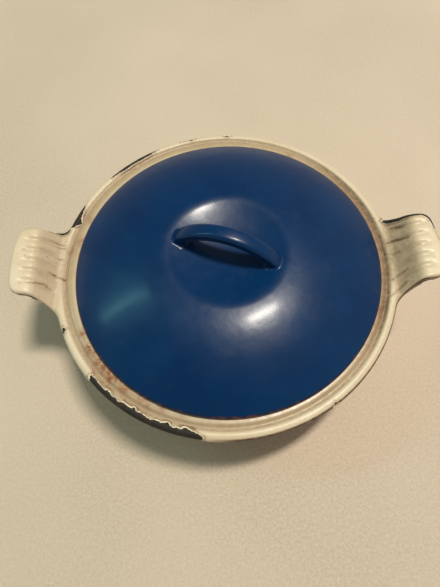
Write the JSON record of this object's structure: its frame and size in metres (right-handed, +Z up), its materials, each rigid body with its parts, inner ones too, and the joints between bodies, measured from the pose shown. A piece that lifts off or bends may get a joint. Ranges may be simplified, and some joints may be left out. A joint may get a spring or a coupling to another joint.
{
  "type": "dutch oven",
  "caption": "Round, shallow enamelled cast-iron dutch oven: cream pot with fluted, upturned wing handles, and a deep blue domed lid with a dished centre and an arched loop. The lid lifts off.",
  "frame": {"origin": "centre of the pot's foot ring, on the surface that it stands on", "axes": "+X through the two wing handles, +Z up, +Y square to both"},
  "size_m": [0.315, 0.261, 0.1265],
  "materials": {
    "cast_iron": "bare, darkened casting",
    "cream_enamel": "fused opaque enamel, glossy, stained with use",
    "blue_enamel": "fused opaque enamel, high gloss"
  },
  "bodies": {
    "pot": {"pot_casting": "cast_iron", "pot_outer_enamel": "cream_enamel", "pot_inner_enamel": "cream_enamel", "pot_base_enamel": "cream_enamel"},
    "lid": {"lid_casting": "cast_iron", "lid_outer_enamel": "blue_enamel", "lid_inner_enamel": "blue_enamel"}
  },
  "joints": [
    {"name": "lid_lift", "type": "slide", "parent": "pot", "child": "lid", "axis": [0, 0, 1], "range_m": [0, 0.15]}
  ]
}
